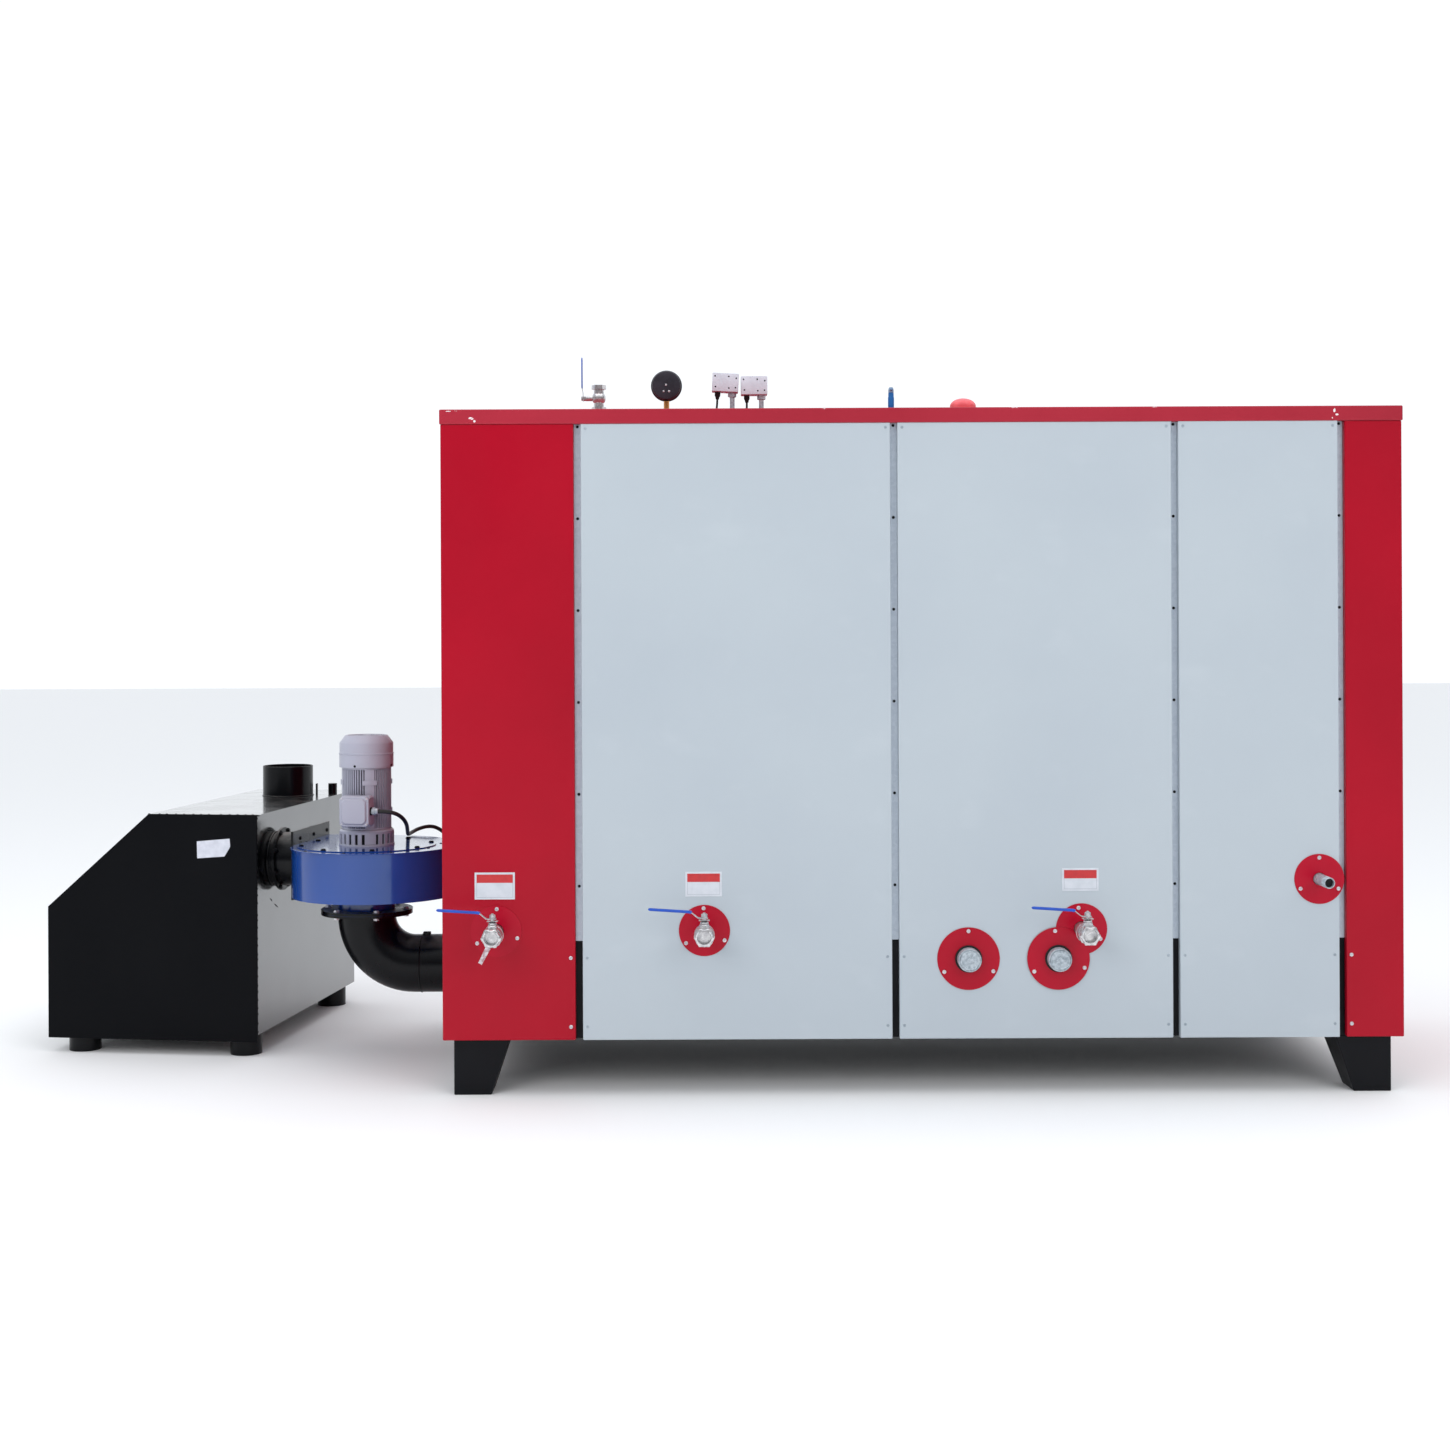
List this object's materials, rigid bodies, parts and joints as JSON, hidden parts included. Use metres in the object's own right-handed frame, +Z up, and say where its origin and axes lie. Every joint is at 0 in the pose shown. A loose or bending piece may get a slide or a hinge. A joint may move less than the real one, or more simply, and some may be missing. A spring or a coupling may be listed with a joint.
{
  "type": "industrial boiler",
  "caption": "Long sheet-metal steam boiler cabinet on legs with blowdown valves, roof fittings, a scroll flue blower and a sloped flue box.",
  "frame": {"origin": "floor level, at the middle of the whole plant's footprint", "axes": "+X along the cabinet from the flue box to the far end, +Y from the valve side to the back, +Z up"},
  "size_m": [4.2989, 1.83, 2.301],
  "materials": {
    "red_paint": "satin red powder coat",
    "grey_paint": "satin light grey powder coat",
    "black_paint": "black enamel",
    "gloss_black": "gloss black enamel",
    "galvanised": "galvanised sheet",
    "nickel": "nickel-plated brass and steel fittings",
    "lever": "steel lever with a blue sleeve",
    "blue_paint": "gloss blue enamel",
    "motor_paint": "light grey enamel on aluminium",
    "brass": "brass",
    "black_plastic": "black case",
    "control_box": "light grey case",
    "red_plastic": "red transport cap",
    "cable": "black rubber sheath"
  },
  "bodies": {
    "plant": {"back_legs": "black_paint", "back_panels_corner": "red_paint", "back_panels_grey": "grey_paint", "blowdown_valve_left": "nickel", "blowdown_valve_middle": "nickel", "blowdown_valve_right": "nickel", "blower_casing": "blue_paint", "blower_top_plate": "blue_paint", "boiler_body": "galvanised", "cable_entry": "cable", "channel_strips": "galvanised", "chimney_stub": "gloss_black", "control_leads": "cable", "end_panel_left": "red_paint", "end_panel_right": "red_paint", "feed_collar": "red_paint", "feed_pipe": "nickel", "flue_box_body": "gloss_black", "flue_box_feet": "gloss_black", "flue_box_front": "gloss_black", "flue_box_lid": "gloss_black", "flue_box_stub": "gloss_black", "flue_elbow": "gloss_black", "flue_pipe": "gloss_black", "front_legs": "black_paint", "front_panel_grey_left": "grey_paint", "front_panel_grey_middle": "grey_paint", "front_panel_grey_right": "grey_paint", "front_panel_left_corner": "red_paint", "front_panel_right_corner": "red_paint", "furnace_base": "black_paint", "gauge_stem": "brass", "motor_base": "motor_paint", "motor_body": "motor_paint", "motor_cable": "cable", "motor_cowl": "motor_paint", "motor_disc": "blue_paint", "outlet_cap": "red_plastic", "outlet_flange": "gloss_black", "pressure_control_first": "control_box", "pressure_control_second": "control_box", "pressure_gauge": "black_plastic", "roof_cap": "red_paint", "safety_valve": "blue_paint", "socket_collars": "red_paint", "steam_outlet": "nickel", "terminal_box": "motor_paint", "valve_collars": "red_paint", "vent_valve": "nickel", "washout_plugs": "nickel", "washout_sockets": "nickel"},
    "lever_left": {"valve_lever_left": "lever"},
    "lever_middle": {"valve_lever_middle": "lever"},
    "lever_right": {"valve_lever_right": "lever"},
    "lever_vent": {"vent_lever": "lever"}
  },
  "joints": [
    {"name": "blowdown_lever_left", "type": "hinge", "parent": "plant", "child": "lever_left", "pos_m": [-0.58284, -0.86699, 0.548], "axis": [0, 0, 1], "range_deg": [0, 90]},
    {"name": "blowdown_lever_middle", "type": "hinge", "parent": "plant", "child": "lever_middle", "pos_m": [0.04316, -0.86699, 0.548], "axis": [0, 0, 1], "range_deg": [0, 90]},
    {"name": "blowdown_lever_right", "type": "hinge", "parent": "plant", "child": "lever_right", "pos_m": [1.17616, -0.86699, 0.548], "axis": [0, 0, 1], "range_deg": [0, 90]},
    {"name": "vent_lever_turn", "type": "hinge", "parent": "plant", "child": "lever_vent", "pos_m": [-0.34984, -0.16498, 2.165], "axis": [1, 0, 0], "range_deg": [0, 90]}
  ]
}
